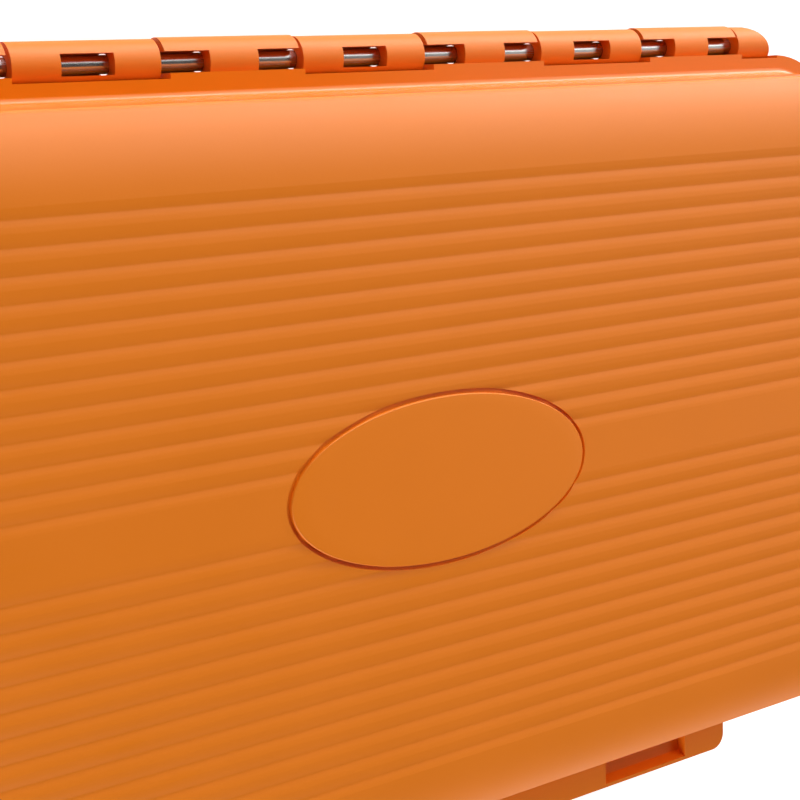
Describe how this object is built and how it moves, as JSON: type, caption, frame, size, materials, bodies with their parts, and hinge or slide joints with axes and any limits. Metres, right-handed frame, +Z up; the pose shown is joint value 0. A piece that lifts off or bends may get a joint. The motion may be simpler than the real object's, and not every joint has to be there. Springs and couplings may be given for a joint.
{
  "type": "fly box",
  "caption": "Moulded plastic fly box with a ribbed lid, oval plate, pinned hinge, wide hooked latch, rim seal and slit foam strips inside.",
  "frame": {"origin": "middle of the flat underside of the base", "axes": "+X along the hinge, +Y from the latch to the hinge, +Z up through the lid"},
  "size_m": [0.155, 0.1005, 0.0357],
  "materials": {
    "shell": "fine satin texture",
    "latch": "satin",
    "badge": "smooth satin",
    "steel": "drawn bright wire",
    "seal": "matte",
    "foam": "closed cell foam"
  },
  "bodies": {
    "base": {"base_shell": "shell", "hinge_pin": "steel", "rim_seal": "seal", "latch_pin": "steel", "base_foam_1": "foam", "base_foam_2": "foam", "base_foam_3": "foam", "base_foam_4": "foam", "base_foam_5": "foam", "base_foam_6": "foam", "base_foam_7": "foam", "base_foam_8": "foam"},
    "lid": {"lid_shell": "shell", "badge_plate": "badge", "lid_foam_1": "foam", "lid_foam_2": "foam", "lid_foam_3": "foam", "lid_foam_4": "foam", "lid_foam_5": "foam", "lid_foam_6": "foam", "lid_foam_7": "foam", "lid_foam_8": "foam"},
    "latch": {"latch": "latch"}
  },
  "joints": [
    {"name": "lid_hinge", "type": "hinge", "parent": "base", "child": "lid", "pos_m": [0, 0.0474, 0.02], "axis": [-1, 0, 0], "range_deg": [0, 180]},
    {"name": "latch_pivot", "type": "hinge", "parent": "base", "child": "latch", "pos_m": [0, -0.0482, 0.011], "axis": [1, 0, 0], "range_deg": [-5, 110]}
  ]
}
